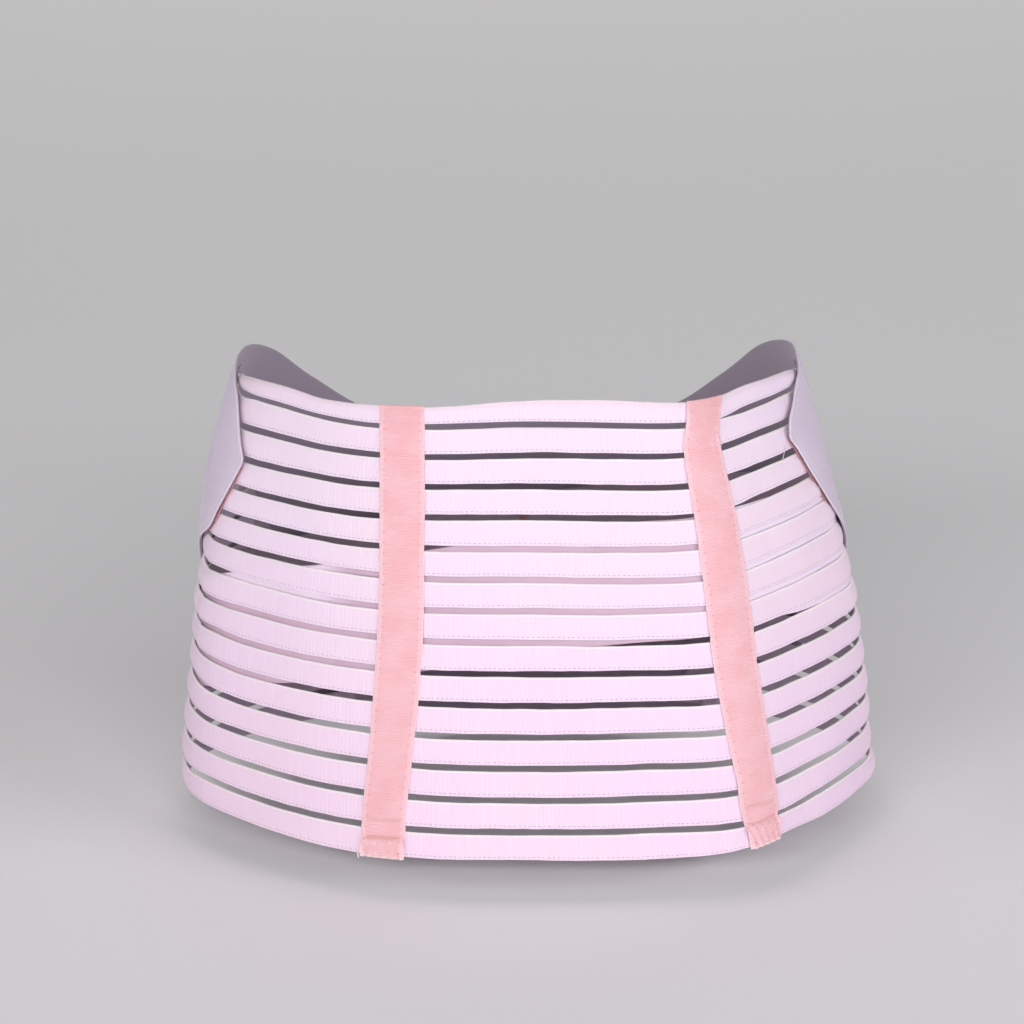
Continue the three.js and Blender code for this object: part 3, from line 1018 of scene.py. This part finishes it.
def elastic_material():
    cloth = Weave("elastic", 0.72, 0.15)
    ribs = cloth.ribs(cloth.along, 2.25)
    threads = cloth.ribs(cloth.across, 0.7)
    streaks = cloth.noise(1, 2, cloth.stretched(0.35, 0.02))
    fleck = cloth.noise(1, 3, cloth.stretched(1.6, 0.9))
    cloudy = cloth.noise(9, 2)
    lower = cloth.range(cloth.height, 0.1, -0.13)
    base = cloth.mix(lower, (0.87, 0.71, 0.86), (0.88, 0.66, 0.84))
    base = cloth.tint(base, (0.89, 0.7, 0.8), cloudy, 0.4, 0.65, 0, 0.5)
    ribbed = cloth.math("MULTIPLY", ribs, cloth.range(streaks, 0.35, 0.65, 0.04, 0.3))
    base = cloth.mix(ribbed, base, (0.94, 0.8, 0.92))
    base = cloth.tint(base, (0.8, 0.62, 0.79), fleck, 0.55, 0.75, 0, 0.2)
    # Painted highlight: a whiter line along each strip's upper edge, where it catches the light
    base = cloth.tint(
        base, (0.97, 0.92, 0.91), cloth.across, STRIP_WIDTH - 1.1, STRIP_WIDTH - 0.6, 0, 0.75)
    # Painted shade: the upper part of the top strip darker, near the belt's top edge
    top = cloth.math("MULTIPLY", cloth.range(cloth.across, STRIP_WIDTH - 5, STRIP_WIDTH - 1),
                     cloth.range(cloth.height, 0.108, 0.111, 0, 0.5))
    base = cloth.mix(top, base, (0.76, 0.6, 0.68))
    base = cloth.tint(base, (0.93, 0.82, 0.91), cloth.across, 1.1, 0.5, 0, 0.3)
    # Darker inside face, partly painted shade
    base = cloth.shaded_inner_face(base, (0.62, 0.5, 0.61))
    relief = cloth.math("MULTIPLY_ADD", threads, 0.2, cloth.math("MULTIPLY", ribs, 0.7))
    relief = cloth.math("MULTIPLY_ADD", fleck, 0.5, relief)
    return cloth.finish(base, relief, 0.0001)


def ribbon_material(side_name):
    """Grosgrain of one tape, with painted shade in its hem's creases and along its top, and pale
    at its cut ends.
    """
    cloth = Weave(f"ribbon_{side_name}", 0.6, 0.1)
    ribs = cloth.ribs(cloth.along, 1.35)
    fleck = cloth.noise(1, 3, cloth.stretched(0.5, 1.8))
    cloudy = cloth.noise(1, 2, cloth.stretched(0.06, 0.05))
    edge = cloth.math("ABSOLUTE", cloth.edge)
    base = cloth.mix(cloth.range(cloudy, 0.35, 0.65), (0.86, 0.43, 0.47), (0.88, 0.5, 0.56))
    base = cloth.tint(base, (0.92, 0.58, 0.6), fleck, 0.4, 0.7, 0, 0.3)
    base = cloth.mix(cloth.math("MULTIPLY", ribs, 0.35), base, (0.93, 0.6, 0.62))
    base = cloth.tint(base, (0.92, 0.6, 0.67), edge, 2.2, 3, 0.6, 0)
    base = cloth.tint(base, (0.95, 0.72, 0.74), edge, 0.3, 0.7, 0.5, 0)
    hem = TAPE_SEWING[side_name]["hem"]
    wander = cloth.math("MULTIPLY_ADD", cloudy, 5, cloth.math("SUBTRACT", cloth.along, 2.5))
    # Painted shade in the hem's crease and in the softer fold above it
    for crease, reach, depth in ((hem, 1.5, 0.6), (hem + HEM_FOLD_HEIGHT, 1.8, 0.35)):
        away = cloth.math("ABSOLUTE", cloth.math("SUBTRACT", wander, crease))
        painted_crease_shade = cloth.range(away, 0.2, reach, depth, 0)
        middle = cloth.range(edge, 1.5, 4)
        base = cloth.mix(cloth.math("MULTIPLY", painted_crease_shade, middle), base, (0.66, 0.33, 0.3))
    stitched = cloth.range(cloth.along, hem, hem - 1)
    puckers = cloth.noise(1, 3, cloth.stretched(0.35, 0.9))
    specks = cloth.math("MULTIPLY", stitched, cloth.range(puckers, 0.52, 0.68, 0, 0.5))
    base = cloth.mix(specks, base, (0.97, 0.8, 0.8))
    base = cloth.tint(base, (0.93, 0.8, 0.78), cloth.along, 0.6, -0.2, 0, 0.7)
    # Painted shade: the tape darker along its top
    base = cloth.tint(
        base, (0.8, 0.42, 0.42), cloth.along, BELT_HEIGHT - 9, BELT_HEIGHT, 0, 0.45)
    relief = cloth.math("MULTIPLY_ADD", fleck, 0.5, ribs)
    return cloth.finish(base, relief, 0.00014)


def binding_material():
    cloth = Weave("binding", 0.75, 0.1)
    ribs = cloth.ribs(cloth.along, 1.1)
    cords = cloth.ribs(cloth.across, 1.4)
    base = cloth.mix(ribs, (0.78, 0.62, 0.68), (0.86, 0.7, 0.76))
    # Darker inside face, partly painted shade
    base = cloth.shaded_inner_face(base, (0.45, 0.36, 0.42))
    relief = cloth.math("MULTIPLY", ribs, cords)
    return cloth.finish(base, relief, 0.00012)


def lining_material():
    cloth = Weave("lining", 0.6, 0.1)
    courses = cloth.ribs(cloth.across, 0.9)
    wales = cloth.ribs(cloth.along, 1.2)
    cloudy = cloth.noise(22, 3)
    base = cloth.mix(cloth.range(cloudy, 0.3, 0.7), (0.58, 0.41, 0.51), (0.63, 0.45, 0.56))
    # Painted light: paler towards +X and, in the upper half, towards -X, where the lining lies
    # near the strips' face and is lit rather than shaded
    painted_light_right = cloth.range(cloth.sideways, 0.095, 0.125)
    painted_light_left = cloth.range(cloth.sideways, -0.085, -0.11)
    painted_light_left = cloth.math("MULTIPLY", painted_light_left, cloth.range(cloth.height, 0, 0.01, 0, 0.8))
    pale = cloth.math("MAXIMUM", painted_light_right, painted_light_left)
    base = cloth.mix(pale, base, (0.9, 0.76, 0.9))
    # Darker inside face, partly painted shade
    base = cloth.shaded_inner_face(base, (0.42, 0.33, 0.4))
    relief = cloth.math("MULTIPLY", courses, wales)
    return cloth.finish(base, relief, 0.00008)


def brushed_material():
    cloth = Weave("brushed_band", 0.85, 0.5, (0.95, 0.9, 1))
    nap = cloth.noise(900, 4)
    cloudy = cloth.noise(30, 3)
    loops = cloth.noise(1, 2, cloth.stretched(1.1, 0.8))
    edge = cloth.math("ABSOLUTE", cloth.edge)
    base = cloth.mix(cloth.range(cloudy, 0.3, 0.7), (0.61, 0.51, 0.63), (0.65, 0.55, 0.68))
    base = cloth.tint(base, (0.68, 0.6, 0.7), loops, 0.4, 0.7, 0, 0.35)
    base = cloth.tint(base, (0.8, 0.7, 0.8), edge, 0.4, 1.1, 0.5, 0)
    # Darker inside face, partly painted shade
    base = cloth.shaded_inner_face(base, (0.3, 0.25, 0.31), 0.4)
    relief = cloth.math("MULTIPLY_ADD", loops, 0.8, nap)
    return cloth.finish(base, relief, 0.00025)


def hook_material():
    cloth = Weave("hook", 0.8, 0.2)
    hooks = cloth.math("MULTIPLY", cloth.ribs(cloth.along, 1.1), cloth.ribs(cloth.across, 1.1))
    base = cloth.mix(hooks, (0.5, 0.22, 0.23), (0.66, 0.36, 0.36))
    return cloth.finish(base, hooks, 0.0003)


def thread_material(name, colour):
    cloth = Weave(name, 0.5)
    twist = cloth.noise(2600, 2)
    darker = tuple(0.8 * part for part in colour)
    return cloth.finish(cloth.mix(twist, darker, colour), twist, 0.00008)


def floor_material():
    cloth = Weave("floor", 0.85)
    cloudy = cloth.noise(1.5, 2)
    cloth.link(cloth.mix(cloudy, (0.95, 0.94, 0.95), (0.97, 0.96, 0.97)),
               cloth.shader["Base Color"])
    return cloth.material


MATERIALS = {
    "elastic": elastic_material(),
    "ribbon_left": ribbon_material("left"),
    "ribbon_right": ribbon_material("right"),
    "binding": binding_material(),
    "lining": lining_material(),
    "brushed_band": brushed_material(),
    "hook": hook_material(),
}
for name, colour in (
    ("strip_thread", (0.6, 0.55, 0.76)),
    ("tape_thread", (0.74, 0.36, 0.4)),
    ("band_thread", (0.72, 0.66, 0.76)),
    ("white_thread", (0.95, 0.92, 0.93)),
):
    MATERIALS[name] = thread_material(name, colour)


def dress(piece, slot, node=None, finish=None):
    """Gives a piece its material, picked by its finish or else its slot, puts it on the body and
    hides the CAD node that it stands for.
    """
    piece.data.materials.append(MATERIALS[finish or slot])
    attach(piece, BODY)
    if node:
        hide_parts(node)


# Cloth pieces
for number in range(1, STRIP_COUNT + 1):
    strip, length = elastic_strip(number)
    dress(strip, "elastic", f"elastic_strip_{number:02d}")

for side_name in ("left", "right"):
    tape = back_tape(side_name)
    dress(tape, "ribbon", f"back_tape_{side_name}", f"ribbon_{side_name}")

for side_name, sign in (("left", -1), ("right", 1)):
    tape = end_tape(side_name, sign)
    dress(tape, "binding", f"end_tape_{side_name}")
    pad, pad_area = hook_pad(f"hook_patch_{side_name}", sign)
    dress(pad, "hook", f"hook_pad_{side_name}")

lining, lining_length = inner_band()
dress(lining, "lining", "inner_band")

patch = closure()
dress(patch, "hook", "inner_band_closure")

band, band_length, band_area = front_band()
dress(band, "brushed_band", "front_band")

dress(strip_stitching(), "elastic", finish="strip_thread")
dress(tape_stitching(), "ribbon", finish="tape_thread")
dress(band_stitching(), "brushed_band", finish="band_thread")
for thread in loose_threads():
    dress(thread, "elastic", finish="white_thread")

# Floor, light and camera
FLOOR_REACH = 9.0
FLOOR_DROP = 1.0
lowest = cad_bounds[0][2] - FLOOR_DROP * MM
floor_mesh = bpy.data.meshes.new("floor")
corners = [(x * FLOOR_REACH, y * FLOOR_REACH, lowest)
           for x, y in ((-1, -1), (1, -1), (1, 1), (-1, 1))]
floor_mesh.from_pydata(corners, [], [(0, 1, 2, 3)])
floor = add_object("floor", floor_mesh)
floor_mesh.materials.append(floor_material())


def area_light(name, azimuth, elevation, distance, size, energy, colour):
    """Soft light that faces the belt. Azimuth 0 is behind the wearer, where the camera is."""
    data = bpy.data.lights.new(name, "AREA")
    data.shape = "RECTANGLE"
    data.size, data.size_y = size
    data.energy = energy
    data.color = colour
    light = add_object(name, data)
    turn, rise = math.radians(azimuth), math.radians(elevation)
    light.location = (
        distance * math.sin(turn) * math.cos(rise),
        -distance * math.cos(turn) * math.cos(rise),
        distance * math.sin(rise),
    )
    light.rotation_euler = (math.pi / 2 - rise, 0, turn)
    light.visible_camera = False


LIGHTS = table("name azimuth elevation distance size energy colour", [
    ("key", -6, 22, 4, (4.4, 0.6), 104, (1, 0.985, 1)),
    ("left_fill", -75, 22, 4, (2, 0.6), 14, (1, 0.98, 1)),
    ("right_fill", 58, 22, 4, (2.6, 0.6), 44, (0.96, 0.96, 1)),
    ("front_light", 180, 26, 4, (4.4, 0.6), 30, (1, 0.99, 0.98)),
])
for row in LIGHTS:
    area_light(**row)

# World: brighter low down, where the floor meets it, than overhead
world = bpy.data.worlds.new("studio")
world.use_nodes = True
nodes, links = world.node_tree.nodes, world.node_tree.links
background = nodes["Background"]
direction = nodes.new("ShaderNodeTexCoord")
split = nodes.new("ShaderNodeSeparateXYZ")
glow = nodes.new("ShaderNodeMapRange")
glow.interpolation_type = "SMOOTHSTEP"
for socket, value in (("From Min", 0.15), ("From Max", 0.5), ("To Min", 0.6), ("To Max", 0.12)):
    glow.inputs[socket].default_value = value
links.new(direction.outputs["Generated"], split.inputs[0])
links.new(split.outputs["Z"], glow.inputs["Value"])
links.new(glow.outputs[0], background.inputs["Strength"])
background.inputs["Color"].default_value = (1, 1, 1, 1)
bpy.context.scene.world = world
bpy.context.scene.view_settings.view_transform = "Standard"

camera_data = bpy.data.cameras.new("camera")
camera_data.lens = CAMERA_LENS
camera_data.sensor_width = CAMERA_SENSOR
camera_data.clip_end = 100
camera = add_object("camera", camera_data)
rise = math.radians(CAMERA_ELEVATION)
camera_up = np.array([0, math.sin(rise), math.cos(rise)])
camera_place = CAMERA_DISTANCE * np.array([0, -math.cos(rise), math.sin(rise)])
camera_aim = CAMERA_AIM_RISE * camera_up
to_camera = camera_place - camera_aim
tilt = math.atan2(to_camera[2], -to_camera[1])
camera.location = tuple(camera_place * MM)
camera.rotation_mode = "XYZ"
camera.rotation_euler = (math.pi / 2 - tilt, 0, 0)
bpy.context.view_layer.update()
camera.matrix_world = camera.matrix_world @ Matrix.Rotation(math.radians(CAMERA_ROLL), 4, "Z")
bpy.context.scene.camera = camera
